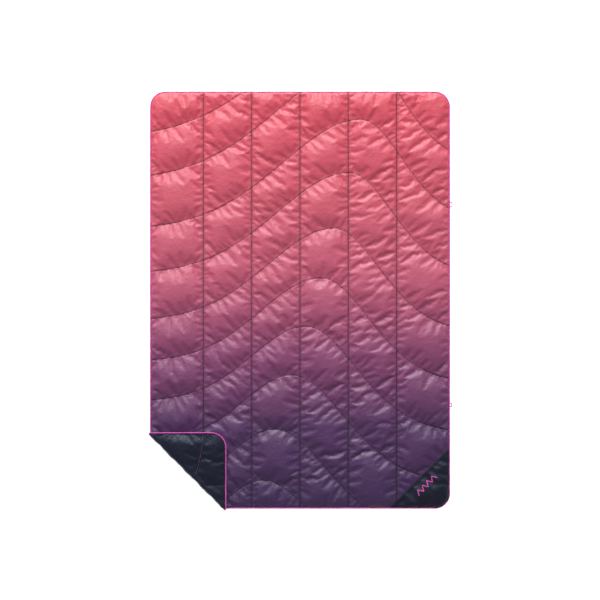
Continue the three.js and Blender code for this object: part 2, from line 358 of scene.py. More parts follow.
def net_faces(net, keep):
    """The faces between points that pass keep(i, j). A cell that loses one point keeps a triangle."""
    n = net["number"]
    faces = []
    for i in range(n.shape[0] - 1):
        for j in range(n.shape[1] - 1):
            ring = [(i, j), (i + 1, j), (i + 1, j + 1), (i, j + 1)]
            ring = [p for p in ring if n[p] >= 0 and keep(*p)]
            if len(ring) >= 3:
                faces.append([int(n[p]) for p in ring])
    return faces


def uneven_cut(flat):
    """The cut with its cloth drawn unevenly along the seams, so that creases run aslant from them."""
    drag = settings("cloth").drag
    rng = np.random.default_rng(11)
    pulls = [(0.0, 0.408, drag, 0.6)]  # heading, length and size of each wave of drag, and where it starts
    for _ in range(10):
        heading, length = rng.uniform(0, math.pi), rng.uniform(0.10, 0.26)
        pulls.append((heading, length, rng.uniform(0.17, 0.37) * drag, rng.uniform(0, 6.3)))
    drawn = flat.copy()
    for heading, length, size, phase in pulls:
        ahead = np.array([math.cos(heading), math.sin(heading)])
        sideways = np.array([-ahead[1], ahead[0], 0])
        drawn += np.outer(size * np.sin(2 * math.pi / length * (flat[:, :2] @ ahead) + phase), sideways)
    return drawn


def simulate(net):
    """The net once the fill has lifted it: puckered at the held seams, swollen between them."""
    cloth = settings("cloth")
    inside = net["inside"]
    rng = np.random.default_rng(7)
    start = np.stack([net["x"][inside], net["y"][inside], np.full(inside.sum(), cloth.front_seam)], 1)
    cut = uneven_cut(start)
    free = ~net["held"][inside]
    start[free, 2] += 0.002 + 0.0006 * rng.random(free.sum())
    mesh = bpy.data.meshes.new("lifting_cloth")
    mesh.from_pydata(start.tolist(), [], net_faces(net, lambda i, j: True))
    sheet = bpy.data.objects.new("lifting_cloth", mesh)
    scene = bpy.context.scene
    scene.collection.objects.link(sheet)
    sheet.shape_key_add(name="start")
    as_cut = sheet.shape_key_add(name="as_cut")
    as_cut.data.foreach_set("co", cut.astype(np.float32).ravel())
    pins = sheet.vertex_groups.new(name="held")
    pins.add([int(v) for v in np.where(~free)[0]], 1.0, "REPLACE")
    modifier = sheet.modifiers.new("lift", "CLOTH")
    fabric = modifier.settings
    fabric.quality = 4
    fabric.mass = 0.05
    fabric.tension_stiffness = fabric.compression_stiffness = 15
    fabric.shear_stiffness = 5
    fabric.bending_stiffness = 4
    fabric.tension_damping = fabric.compression_damping = fabric.shear_damping = 5
    fabric.bending_damping = 0.5
    fabric.air_damping = 2
    fabric.vertex_group_mass = "held"
    fabric.shrink_min = -cloth.spare_cloth
    fabric.rest_shape_key = as_cut
    modifier.collision_settings.use_collision = False
    modifier.point_cache.frame_end = cloth.frames
    gravity = scene.gravity[:]
    scene.gravity = (0, 0, cloth.lift)
    for number in range(1, cloth.frames + 1):
        scene.frame_set(number)
    lifted = sheet.evaluated_get(bpy.context.evaluated_depsgraph_get()).data
    result = np.empty(len(start) * 3, np.float32)
    lifted.vertices.foreach_get("co", result)
    scene.gravity = gravity
    scene.frame_set(1)
    bpy.data.objects.remove(sheet)
    bpy.data.meshes.remove(mesh)
    return result.reshape(-1, 3).astype(float)


def seam_distance(net):
    """Each cloth point's distance from the nearest held point."""
    inside = net["inside"]
    flat = np.stack([net["x"][inside], net["y"][inside], np.zeros(inside.sum())], 1)
    held = np.where(net["held"][inside])[0]
    tree = KDTree(len(held))
    for v in held:
        tree.insert(flat[v], int(v))
    tree.balance()
    return np.array([tree.find(p)[2] for p in flat])


# Front and back heights

def spread_grid(net, values, fill):
    """The cloth points' values, laid out on the net's grid."""
    grid = np.full(net["inside"].shape, fill)
    grid[net["inside"]] = values
    return grid


def smoothed(grid, passes):
    """The grid after a number of passes that each blend a cell with its neighbours."""
    for _ in range(passes):
        for axis in (0, 1):
            before, after = np.roll(grid, 1, axis), np.roll(grid, -1, axis)
            edge = [slice(None), slice(None)]
            for k in (0, -1):
                edge[axis] = k
                before[tuple(edge)] = after[tuple(edge)] = grid[tuple(edge)]
            grid = (before + 2 * grid + after) / 4
    return grid


def on_flap(x, y):
    """The places of the turned corner that lie over these places, or the places themselves when on it."""
    s = past_fold(x, y)
    return np.where(s > 0, FOLD_SUM - y, x), np.where(s > 0, FOLD_SUM - x, y)


def under_flap(x, y):
    """1 where the turned corner presses on the part below it, easing to 0 around it."""
    fx, fy = on_flap(x, y)
    return smoothstep((np.minimum(fx + HALF_WIDTH, fy + HALF_LENGTH) + 0.03) / 0.05)


def corner_sag(x, y):
    """How far the turned corner's free edge drops onto the part below."""
    fx, fy = on_flap(x, y)
    away = smoothstep(-past_fold(fx, fy) / 0.1)
    near_edge = 1 - smoothstep(edge_distance(fx, fy) / 0.055)
    return settings("edge").corner_sag * away * near_edge


def shape_surfaces(net, lifted):
    """Front and back cloth positions on the flat cut, from the simulated net."""
    cloth, edge = settings("cloth"), settings("edge")
    x, y = lifted[:, 0], lifted[:, 1]
    z = spread_grid(net, lifted[:, 2], cloth.front_seam)
    broad = smoothed(z, cloth.puff_spread)[net["inside"]]
    swell = np.maximum(lifted[:, 2] - cloth.front_seam, -0.0003)
    fine = (lifted[:, 2] - broad) * cloth.wrinkle_gain * smoothstep(seam_distance(net) / 0.02)
    s = past_fold(x, y)
    rim = 1 - smoothstep(edge_distance(x, y) / 0.012)
    at_fold = np.exp(-(s / 0.015) ** 2)
    fold_height, between_layers, in_tape, rim_reach = 0.0165, 0.0009, 0.0012, 0.02

    front = np.maximum(cloth.front_seam + cloth.front_share * swell + fine, cloth.front_seam - 0.0003)
    front += np.maximum(fold_height - front, 0) * 0.8 * at_fold
    ceiling = HINGE_HEIGHT - between_layers - corner_sag(x, y) / 2
    front = mixed(front, limited(front, ceiling, 0.004), under_flap(x, y))
    front = mixed(front, edge.tape_middle + in_tape, rim)

    back = np.minimum(cloth.back_seam - cloth.back_share * swell - fine, cloth.back_seam + 0.0002)
    back = mixed(back, 0.0006, 0.9 * at_fold)
    on_floor = -limited(-back, -0.0003, 0.003)
    back = mixed(np.maximum(back, -0.0025), on_floor, smoothstep(s / 0.01 + 0.5))
    back = mixed(back, edge.tape_middle - in_tape, rim)
    back = np.minimum(back, front - 0.0006)  # the two cloths never cross

    inset = edge.rim_inset * rim
    px = x - np.sign(x) * inset * (HALF_WIDTH - np.abs(x) < rim_reach)
    py = y - np.sign(y) * inset * (HALF_LENGTH - np.abs(y) < rim_reach)
    return np.stack([px, py, front], 1), np.stack([px, py, back], 1)


def sagged(points, cut):
    """Points of the turned corner, lowered where its free edge drops."""
    points = points.copy()
    points[:, 2] -= corner_sag(cut[:, 0], cut[:, 1])
    return points


# Pieces

def add_piece(name, points, faces, material):
    """A smooth mesh of its own in the scene."""
    mesh = bpy.data.meshes.new(name)
    mesh.from_pydata(np.asarray(points).tolist(), [], faces)
    mesh.materials.append(material)
    mesh.polygons.foreach_set("use_smooth", [True] * len(mesh.polygons))
    mesh.update()
    piece = bpy.data.objects.new(name, mesh)
    bpy.context.scene.collection.objects.link(piece)
    return piece


def add_cut_map(piece, cut):
    """Stores where each point lies on the flat cut, from 0 to 1 each way."""
    at = np.stack([cut[:, 0] / (2 * HALF_WIDTH) + 0.5, cut[:, 1] / (2 * HALF_LENGTH) + 0.5], 1)
    corners = np.empty(len(piece.data.loops), np.int32)
    piece.data.loops.foreach_get("vertex_index", corners)
    layer = piece.data.uv_layers.new(name="OFBake")
    layer.data.foreach_set("uv", np.clip(at[corners], 0, 1).ravel())


def cloth_piece(name, points, cut, faces, material, turned=False):
    """A cloth piece made of some of the net's faces."""
    used = sorted({v for f in faces for v in f})
    place = {v: k for k, v in enumerate(used)}
    own = [[place[v] for v in (f[::-1] if turned else f)] for f in faces]
    piece = add_piece(name, points[used], own, material)
    add_cut_map(piece, cut[used])
    # Painted shade: each point's share of the darkening in the seam valleys goes with the piece.
    piece.data.attributes.new("furrow_shade", "FLOAT", "POINT").data.foreach_set("value", quilt["furrow_shade"][used])
    return piece


def fold_strip(name, below, above, cut, material, outward):
    """Cloth that goes round the fold, from the part that stays down to the turned corner."""
    steps, map_width = 14, 0.03
    run = np.linalg.norm(cut - cut[0], axis=1)
    inner = np.minimum(run, run[-1] - run) > 0.02
    uneven = 0.12 * np.sin(run * 61) + 0.07 * np.sin(run * 143 + 1)
    squeeze = settings("edge").fold_squeeze * (1 + inner * uneven)
    out = np.array([-math.sqrt(0.5), -math.sqrt(0.5)])
    rows, rows_cut = [], []
    for k in range(steps + 1):
        turn = math.pi * k / steps
        share = (1 - math.cos(turn)) / 2
        flat = mixed(below[:, :2], above[:, :2], share)
        radius = (above[:, 2] - below[:, 2]) / 2
        flat = flat + out * (radius * squeeze * math.sin(turn))[:, None]
        rows.append(np.column_stack([flat, mixed(below[:, 2], above[:, 2], share)]))
        rows_cut.append(cut - out * map_width * k / steps)
    n = len(below)
    faces = [
        [k * n + m, k * n + m + 1, (k + 1) * n + m + 1, (k + 1) * n + m]
        for k in range(steps) for m in range(n - 1)
    ]
    if not outward:
        faces = [f[::-1] for f in faces]
    quilt[name] = np.array(rows)
    strip = add_piece(name, np.vstack(rows), faces, material)
    add_cut_map(strip, np.vstack(rows_cut))
    return strip


def blend_round_fold(piece, low, high):
    """Bakes the piece's transform into its mesh."""
    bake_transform(piece)


def swept(route, section, ups=None):
    """Points and faces of a section carried along a route. A section point is (to the left, upwards)."""
    along = np.vstack([route[1:], route[-1:]]) - np.vstack([route[:1], route[:-1]])
    along /= np.linalg.norm(along, axis=1, keepdims=True)
    ups = np.tile(UP, (len(route), 1)) if ups is None else ups
    left = np.cross(ups, along)
    left /= np.linalg.norm(left, axis=1, keepdims=True)
    up = np.cross(along, left)
    points = [r + a * l + b * u for r, l, u in zip(route, left, up) for a, b in section]
    m, n = len(section), len(route)
    faces = []
    for k in range(n - 1):
        here, there = k * m, (k + 1) * m
        faces += [[here + q, here + (q + 1) % m, there + (q + 1) % m, there + q] for q in range(m)]
    faces += [list(range(m))[::-1], [(n - 1) * m + q for q in range(m)]]
    return np.array(points), [f[::-1] for f in faces]


def rounded_section(width, height, power=0.7, count=12):
    """An oval section with flattened sides."""
    turns = [2 * math.pi * q / count for q in range(count)]
    return [
        (
            0.5 * width * math.copysign(abs(math.cos(t)) ** power, math.cos(t)),
            0.5 * height * math.copysign(abs(math.sin(t)) ** power, math.sin(t)),
        )
        for t in turns
    ]


def stitched(name, route, outward, material):
    """A row of stitches along a 3-D route, on its outward side: short threads, sunk at both ends."""
    stitch = settings("stitch")
    outward = np.broadcast_to(np.asarray(outward, float), route.shape)
    run = np.concatenate([[0], np.cumsum(np.linalg.norm(np.diff(route, axis=0), axis=1))])
    shares = np.array([0.0, 0.2, 0.5, 0.8, 1.0])
    rises = np.array([-0.1, 0.9, 1.1, 0.9, -0.1]) * stitch.thread
    section = rounded_section(stitch.thread * 1.5, stitch.thread, 1.0, 6)
    points, faces = [], []
    for k in range(int(run[-1] / stitch.pitch)):
        at = k * stitch.pitch + shares * stitch.length
        row = np.stack([np.interp(at, run, route[:, c]) for c in range(3)], 1)
        out = np.stack([np.interp(at, run, outward[:, c]) for c in range(3)], 1)
        tube, sides = swept(row + out * rises[:, None], section, out)
        faces += [[v + len(points) for v in f] for f in sides]
        points += tube.tolist()
    return add_piece(name, points, faces, material)


# Materials

def new_material(name, roughness, sheen, specular):
    """A material, its nodes and links, and its shader."""
    material = bpy.data.materials.new(name)
    material.use_nodes = True
    nodes, links = material.node_tree.nodes, material.node_tree.links
    shader = nodes["Principled BSDF"]
    shader.inputs["Roughness"].default_value = roughness
    shader.inputs["Sheen Weight"].default_value = sheen
    shader.inputs["Specular IOR Level"].default_value = specular
    return material, nodes, links, shader


def colour_steps(nodes, stops):
    """A colour ramp from (position, colour) pairs."""
    ramp = nodes.new("ShaderNodeValToRGB")
    elements = ramp.color_ramp.elements
    while len(elements) < len(stops):
        elements.new(0.5)
    for element, (position, rgb) in zip(elements, stops):
        element.position = position
        element.color = (*rgb, 1)
    return ramp


def noise(nodes, links, vector, scale, detail=3.0, distortion=0.0):
    """Soft mottling, about one blotch every 1 / scale metres."""
    texture = nodes.new("ShaderNodeTexNoise")
    texture.inputs["Scale"].default_value = scale
    texture.inputs["Detail"].default_value = detail
    texture.inputs["Distortion"].default_value = distortion
    links.new(vector, texture.inputs["Vector"])
    return texture.outputs["Fac"]


def bands(nodes, links, vector, direction, period):
    """Even threads or ribs, one every period metres."""
    texture = nodes.new("ShaderNodeTexWave")
    texture.bands_direction = direction
    texture.inputs["Scale"].default_value = math.pi / (10 * period)
    links.new(vector, texture.inputs["Vector"])
    return texture.outputs["Fac"]


def bump(nodes, links, height, strength, distance, under=None):
    """A normal that stands up with height, on top of the normal under it."""
    node = nodes.new("ShaderNodeBump")
    node.inputs["Strength"].default_value = strength
    node.inputs["Distance"].default_value = distance
    links.new(height, node.inputs["Height"])
    if under is not None:
        links.new(under, node.inputs["Normal"])
    return node.outputs["Normal"]


def combine(nodes, links, operation, a, b):
    """Two values, or a value and a number, put through one sum."""
    node = nodes.new("ShaderNodeMath")
    node.operation = operation
    for socket, value in zip(node.inputs, (a, b)):
        if isinstance(value, (int, float)):
            socket.default_value = value
        else:
            links.new(value, socket)
    return node.outputs[0]


def stretched_to(nodes, links, value, low, high):
    """A value from 0 to 1, stretched to run from low to high."""
    node = nodes.new("ShaderNodeMapRange")
    node.inputs["To Min"].default_value = low
    node.inputs["To Max"].default_value = high
    links.new(value, node.inputs["Value"])
    return node.outputs[0]


def tinted(nodes, links, base, factor):
    """The base colour made lighter or darker by factor."""
    node = nodes.new("ShaderNodeVectorMath")
    node.operation = "SCALE"
    links.new(base, node.inputs[0])
    links.new(factor, node.inputs["Scale"])
    return node.outputs[0]


def cut_position(nodes, links):
    """The place on the flat cut, in metres, so that the weave keeps its size."""
    at = nodes.new("ShaderNodeUVMap")
    at.uv_map = "OFBake"
    sized = nodes.new("ShaderNodeVectorMath")
    sized.operation = "MULTIPLY"
    sized.inputs[1].default_value = (2 * HALF_WIDTH, 2 * HALF_LENGTH, 1)
    links.new(at.outputs["UV"], sized.inputs[0])
    return sized.outputs[0]


def ripstop_finish(nodes, links, shader, place, base, roughness, creasing):
    """Satin ripstop: fine threads, a faint grid of thicker ones, creases, uneven gloss, and painted shade
    that darkens the cloth along the seams' valleys.
    """
    thread, square = 0.0007, 0.006
    weave = combine(nodes, links, "ADD", bands(nodes, links, place, "X", thread),
                    bands(nodes, links, place, "Y", thread))
    ribs = combine(nodes, links, "MAXIMUM", bands(nodes, links, place, "X", square),
                   bands(nodes, links, place, "Y", square))
    ribs = combine(nodes, links, "POWER", ribs, 12.0)
    crease = noise(nodes, links, place, 55.0, 4.0, 0.6)
    fine_crease = noise(nodes, links, place, 170.0, 3.0, 0.4)
    normal = bump(nodes, links, crease, creasing, 0.0035)
    normal = bump(nodes, links, fine_crease, creasing * 0.8, 0.0009, normal)
    normal = bump(nodes, links, ribs, 0.25, 0.0002, normal)
    normal = bump(nodes, links, weave, 0.2, 0.0001, normal)
    links.new(normal, shader.inputs["Normal"])
    shade = stretched_to(nodes, links, noise(nodes, links, place, 9.0), 0.93, 1.07)
    shade = combine(nodes, links, "ADD", shade, combine(nodes, links, "MULTIPLY", ribs, 0.05))
    # Painted shade: the colour is darkened down to 0.36 along the seams, where the valleys lie in shadow,
    # broken up by noise.
    furrow_shade = nodes.new("ShaderNodeAttribute")
    furrow_shade.attribute_name = "furrow_shade"
    depth = combine(nodes, links, "POWER", furrow_shade.outputs["Fac"], 1.2)
    broken = stretched_to(nodes, links, noise(nodes, links, place, 110.0, 2.0), -0.2, 2.3)
    depth = combine(nodes, links, "MULTIPLY", depth, broken)
    shade = combine(nodes, links, "MULTIPLY", shade, stretched_to(nodes, links, depth, 1.0, 0.36))
    links.new(tinted(nodes, links, base, shade), shader.inputs["Base Color"])
    gloss = noise(nodes, links, place, 40.0)
    gloss = stretched_to(nodes, links, gloss, roughness - 0.05, roughness + 0.07)
    links.new(gloss, shader.inputs["Roughness"])


def fading_colours(nodes, links, place, share=1.0):
    """Coral to deep violet along the blanket, at a share of full brightness."""
    shades = settings("colour")
    apart = nodes.new("ShaderNodeSeparateXYZ")
    links.new(place, apart.inputs[0])
    along = nodes.new("ShaderNodeMapRange")
    along.inputs["From Min"].default_value = 0.0
    along.inputs["From Max"].default_value = 2 * HALF_LENGTH
    links.new(apart.outputs["Y"], along.inputs["Value"])
    stops = [(0.0, shades.deep_violet), (0.2, shades.violet), (0.37, shades.plum),
             (0.56, shades.mauve), (0.78, shades.rose), (1.0, shades.coral)]
    stops = [(at, [c * share for c in rgb]) for at, rgb in stops]
    ramp = colour_steps(nodes, stops)
    links.new(along.outputs[0], ramp.inputs["Fac"])
    return ramp.outputs["Color"]


def front_cloth_material():
    material, nodes, links, shader = new_material("front_ripstop", 0.54, 0.1, 0.75)
    place = cut_position(nodes, links)
    ripstop_finish(nodes, links, shader, place, fading_colours(nodes, links, place), 0.54, 0.45)
    return material


def dark_cloth_material(name, rgb, roughness, creasing):
    material, nodes, links, shader = new_material(name, roughness, 0.1, 0.45)
    shader.inputs["Specular Tint"].default_value = (0.72, 0.82, 1, 1)
    place = cut_position(nodes, links)
    base = colour_steps(nodes, [(0.0, [c * 0.85 for c in rgb]), (1.0, [c * 1.15 for c in rgb])])
    links.new(noise(nodes, links, place, 25.0), base.inputs["Fac"])
    ripstop_finish(nodes, links, shader, place, base.outputs["Color"], roughness, creasing)
    return material


def object_position(nodes):
    return nodes.new("ShaderNodeTexCoord").outputs["Object"]


def ribbed_tape_material():
    material, nodes, links, shader = new_material("ribbed_tape", 0.55, 0.3, 0.4)
    place = object_position(nodes)
    ribs = combine(nodes, links, "MAXIMUM", bands(nodes, links, place, "X", 0.0011),
                   bands(nodes, links, place, "Y", 0.0011))
    fuzz = noise(nodes, links, place, 600.0)
    normal = bump(nodes, links, ribs, 0.5, 0.0003)
    links.new(bump(nodes, links, fuzz, 0.4, 0.0002, normal), shader.inputs["Normal"])
    rgb = settings("colour").magenta
    base = colour_steps(nodes, [(0.25, [c * 0.78 for c in rgb]), (0.75, [min(1, c * 1.12) for c in rgb])])
    links.new(noise(nodes, links, place, 35.0), base.inputs["Fac"])
    links.new(base.outputs["Color"], shader.inputs["Base Color"])
    return material


def seam_thread_material():
    material, nodes, links, shader = new_material("seam_thread", 0.7, 0.0, 0.2)
    place = object_position(nodes)
    moved = nodes.new("ShaderNodeVectorMath")
    moved.operation = "ADD"
    moved.inputs[1].default_value = (HALF_WIDTH, HALF_LENGTH, 0)
    links.new(place, moved.inputs[0])
    # The thread has the cloth's own colour; taking it at 0.3 of its brightness is painted shade of the
    # seam's valley.
    base = fading_colours(nodes, links, moved.outputs[0], 0.3)
    twist = bands(nodes, links, place, "DIAGONAL", 0.0006)
    shade = stretched_to(nodes, links, twist, 0.8, 1.1)
    links.new(tinted(nodes, links, base, shade), shader.inputs["Base Color"])
    links.new(bump(nodes, links, twist, 0.5, 0.0002), shader.inputs["Normal"])
    return material


def magenta_thread_material(name, share):
    material, nodes, links, shader = new_material(name, 0.45, 0.25, 0.6)
    place = object_position(nodes)
    strands = bands(nodes, links, place, "X", 0.0009)
    rgb = [c * share for c in settings("colour").magenta]
    base = colour_steps(nodes, [(0.2, [c * 0.8 for c in rgb]), (0.8, [min(1, c * 1.15) for c in rgb])])
    links.new(strands, base.inputs["Fac"])
    links.new(base.outputs["Color"], shader.inputs["Base Color"])
    links.new(bump(nodes, links, strands, 0.6, 0.0004), shader.inputs["Normal"])
    return material


def fibre_material():
    material, nodes, links, shader = new_material("fibre_fill", 0.95, 0.4, 0.2)
    place = object_position(nodes)
    fluff = noise(nodes, links, place, 220.0, 6.0, 1.5)
    rgb = settings("colour").fill
    base = colour_steps(nodes, [(0.3, [c * 0.85 for c in rgb]), (0.7, list(rgb))])
    links.new(fluff, base.inputs["Fac"])
    links.new(base.outputs["Color"], shader.inputs["Base Color"])
    links.new(bump(nodes, links, fluff, 0.8, 0.002), shader.inputs["Normal"])
    return material


def floor_material():
    material, nodes, links, shader = new_material("studio_floor", 0.9, 0.0, 0.1)
    rgb = settings("colour").floor
    base = colour_steps(nodes, [(0.0, [c * 0.99 for c in rgb]), (1.0, list(rgb))])
    links.new(noise(nodes, links, object_position(nodes), 0.6), base.inputs["Fac"])
    links.new(base.outputs["Color"], shader.inputs["Base Color"])
    shader.inputs["Emission Color"].default_value = (1, 1, 1, 1)
    shader.inputs["Emission Strength"].default_value = settings("stage").floor_glow
    return material


def finish_of(name):
    """The named material, made once."""
    made = quilt.setdefault("materials", {})
    if name not in made:
        shades = settings("colour")
        makers = {
            "front": front_cloth_material,
            "back": lambda: dark_cloth_material("back_ripstop", shades.navy, 0.46, 0.5),
            "patch": lambda: dark_cloth_material("patch_satin", shades.patch, 0.5, 0.3),
            "tape": ribbed_tape_material,
            "thread": seam_thread_material,
            "bright": lambda: magenta_thread_material("bright_thread", 1.0),
            "dull": lambda: magenta_thread_material("dull_thread", 0.2),
            "fibre": fibre_material,
            "floor": floor_material,
        }
        made[name] = makers[name]()
    return made[name]


# Operators

class LiftCloth(bpy.types.Operator):
    """Works out the flat cut, lifts it by cloth simulation and shapes the front and back cloth"""

    bl_idname = "blanket.lift_cloth"
    bl_label = "Lift the cloth"

    def execute(self, context):
        net = make_net()
        lifted = simulate(net)
        front, back = shape_surfaces(net, lifted)
        inside = net["inside"]
        quilt["net"] = net
        quilt["cut"] = np.stack([net["x"][inside], net["y"][inside]], 1)
        quilt["front"], quilt["back"] = front, back
        # The painted seam-valley shade of each cloth point.
        quilt["furrow_shade"] = self.furrow_shading(net)[inside]
        row = net["fold_row"]
        quilt["main_faces"] = net_faces(net, lambda i, j: i + j >= row)
        quilt["flap_faces"] = net_faces(net, lambda i, j: i + j <= row)
        on_fold = [int(net["number"][i, row - i]) for i in range(row + 1)]
        quilt["fold_points"] = [v for v in on_fold if v >= 0]
        return {"FINISHED"}

    def furrow_shading(self, net):
        """How much painted shade each point of the net takes in a seam's valley, from 0 to 1."""
        # Painted shade is strongest on wave seams, a little less on column seams and faint just beside
        # them.
        wave, column, beside_column = 1.0, 0.8, 0.3
        depth = np.zeros(net["inside"].shape)
        for node, chain in net["chains"].items():
            for i, j in chain:
                if "column" in node:
                    depth[i, j] = max(depth[i, j], column)
                    depth[i - 1:i + 2, j] = np.maximum(depth[i - 1:i + 2, j], beside_column)
                else:
                    depth[i, j] = wave
        return depth


class AddClothShells(bpy.types.Operator):
    """Adds the front and back cloth, of the blanket and its turned corner, and the cloth round the fold"""

    bl_idname = "blanket.add_cloth_shells"
    bl_label = "Cloth shells"

    def execute(self, context):
        cut, fold = quilt["cut"], quilt["fold_points"]
        below, above = quilt["main_faces"], quilt["flap_faces"]
        for side in ("front", "back"):
            outward, finish = side == "back", finish_of(side)
            surface = quilt[side]
            over = sagged(laid_over(surface), cut)
            main = cloth_piece(f"{side}_cloth", surface, cut, below, finish, outward)
            flap = cloth_piece(f"flap_{side}_cloth", over, cut, above, finish, outward)
            strip = fold_strip(f"{side}_cloth_fold", surface[fold], over[fold], cut[fold], finish, outward)
            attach(main, BLANKET)
            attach(flap, CORNER)
            quilt["fold_heights"] = surface[fold, 2].min(), over[fold, 2].max()
            blend_round_fold(strip, *quilt["fold_heights"])
            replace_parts(main, f"{side}_shell")
            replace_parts(flap, f"flap_{side}_shell")
        return {"FINISHED"}


class AddFill(bpy.types.Operator):
    """Adds the fibre fill between the shells"""

    bl_idname = "blanket.add_fill"
    bl_label = "Fibre fill"

    def execute(self, context):
        net, cut = quilt["net"], quilt["cut"]
        inside = net["inside"]
        gap, least_half, rim = 0.0006, 0.0001, 0.009
        top, bottom = self.lowest(net, quilt["front"][:, 2]), -self.lowest(net, -quilt["back"][:, 2])
        middle = (top + bottom) / 2
        top = np.maximum(top - gap, middle + least_half)
        bottom = np.minimum(bottom + gap, middle - least_half)
        row, step = net["fold_row"], 2
        well_in = (edge_distance(net["x"], net["y"]) > rim) & inside
        self.add(net, cut, top, bottom, well_in & (net["i"] + net["j"] > row + step), step, False)
        self.add(net, cut, top, bottom, well_in & (net["i"] + net["j"] < row - step), step, True)
        return {"FINISHED"}

    def lowest(self, net, heights):
        """The lowest height among each point and its neighbours."""
        least = spread_grid(net, heights, 1.0)
        for axis in (0, 1):
            least = np.minimum(least, np.minimum(np.roll(least, 1, axis), np.roll(least, -1, axis)))
        return least[net["inside"]]

    def add(self, net, cut, top, bottom, region, step, turned):
        """One closed pad of fill over a region of the net, on every step-th point."""
        even = (net["i"] % step == 0) & (net["j"] % step == 0) & region
        numbers = np.where(even, np.cumsum(even).reshape(even.shape) - 1, -1)
        own = net["number"][even]
        flat = cut[own]
        upper, lower = np.column_stack([flat, top[own]]), np.column_stack([flat, bottom[own]])
        if turned:
            upper, lower = (sagged(laid_over(p), flat) for p in (upper, lower))
        count, faces, edges = len(own), [], {}  # edges says which ones only one face has
        for i in range(0, numbers.shape[0] - step, step):
            for j in range(0, numbers.shape[1] - step, step):
                ring = [(i, j), (i + step, j), (i + step, j + step), (i, j + step)]
                ring = [int(numbers[p]) for p in ring if numbers[p] >= 0]
                if len(ring) < 3:
                    continue
                faces += [ring, [v + count for v in ring[::-1]]]
                for a, b in zip(ring, ring[1:] + ring[:1]):
                    edges[(a, b)] = edges.get((b, a)) is None
                    if not edges[(a, b)]:
                        edges[(b, a)] = False
        faces += [[b, a, a + count, b + count] for (a, b), rim in edges.items() if rim]
        if turned:
            faces = [f[::-1] for f in faces]
        name = "flap_fibre_fill" if turned else "fibre_fill"
        used = sorted({v for f in faces for v in f})
        place = {v: k for k, v in enumerate(used)}
        faces = [[place[v] for v in f] for f in faces]
        fill = add_piece(name, np.vstack([upper, lower])[used], faces, finish_of("fibre"))
        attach(fill, CORNER if turned else BLANKET)
        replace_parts(fill, "flap_insulation" if turned else "insulation")


class AddBinding(bpy.types.Operator):
    """Adds the ribbed tape round the edge of the blanket and of its turned corner"""

    bl_idname = "blanket.add_binding"
    bl_label = "Edge binding"

    def execute(self, context):
        edge = settings("edge")
        section = rounded_section(edge.tape_width, edge.tape_height)
        main, flap = self.route(False), self.route(True)
        below = add_piece("binding_tape", *swept(main, section), finish_of("tape"))
        over = sagged(laid_over(flap), flap)
        above = add_piece("flap_binding_tape", *swept(over, section), finish_of("tape"))
        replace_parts(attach(below, BLANKET), "edge_binding")
        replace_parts(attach(above, CORNER), "flap_edge_binding")
        points, faces = [], []
        for low, high in ((main[0], over[-1]), (main[-1], over[0])):
            ring, sides = swept(*self.round_fold(low, high, section))
            faces += [[v + len(points) for v in f] for f in sides]
            points += ring.tolist()
        turn = add_piece("binding_tape_fold", points, faces, finish_of("tape"))
        blend_round_fold(turn, main[0, 2], over[0, 2])
        return {"FINISHED"}

    def route(self, on_flap):
        """The middle of the tape along the edge, slightly ruffled, from fold to fold."""
        cloth, edge = settings("cloth"), settings("edge")
        r, inset = cloth.corner_radius, edge.tape_width / 2
        order = [(-1, -1)] if on_flap else [(1, -1), (1, 1), (-1, 1)]
        ends = [(FOLD_SUM + HALF_LENGTH - inset, -HALF_LENGTH + inset),
                (-HALF_WIDTH + inset, FOLD_SUM + HALF_WIDTH - inset)]
        if on_flap:
            ends.reverse()
        path = [ends[0]]
        for sx, sy in order:
            first = math.atan2(sy, sx) - math.pi / 4
            for k in range(13):
                turn = first + math.pi / 2 * k / 12
                path.append((sx * (HALF_WIDTH - r) + (r - inset) * math.cos(turn),
                             sy * (HALF_LENGTH - r) + (r - inset) * math.sin(turn)))
        path.append(ends[1])
        step, calm_end = 0.004, 0.03
        flat = resampled(np.array(path), step)
        run = np.arange(len(flat)) * step
        calm = np.minimum(1, np.minimum(run, run[::-1]) / calm_end)
        ruffle = 0.0004 * np.sin(run * 210) + 0.0003 * np.sin(run * 133 + 2)
        rise = 0.0005 * np.sin(run * 88 + 1) + 0.0003 * np.sin(run * 190)
        inward = -np.sign(flat) * (np.abs(flat) > (HALF_WIDTH - 0.03, HALF_LENGTH - 0.03))
        flat = flat + inward * (np.abs(ruffle) * calm)[:, None]
        return np.column_stack([flat, edge.tape_middle + rise * calm])

    def round_fold(self, low, high, section):
        """The tape's route round one end of the fold, seen on edge."""
        out = np.array([-math.sqrt(0.5), -math.sqrt(0.5)])
        radius, squeeze = (high[2] - low[2]) / 2, settings("edge").fold_squeeze
        route = []
        for k in range(13):
            turn = math.pi * k / 12
            flat = mixed(low[:2], high[:2], k / 12) + out * radius * squeeze * math.sin(turn)
            route.append([*flat, mixed(low[2], high[2], (1 - math.cos(turn)) / 2)])
        side = np.array([1.0, -1.0, 0.0]) / math.sqrt(2)
        turned = [(b, a) for a, b in section]
        return np.array(route), turned[::-1], np.tile(side, (13, 1))


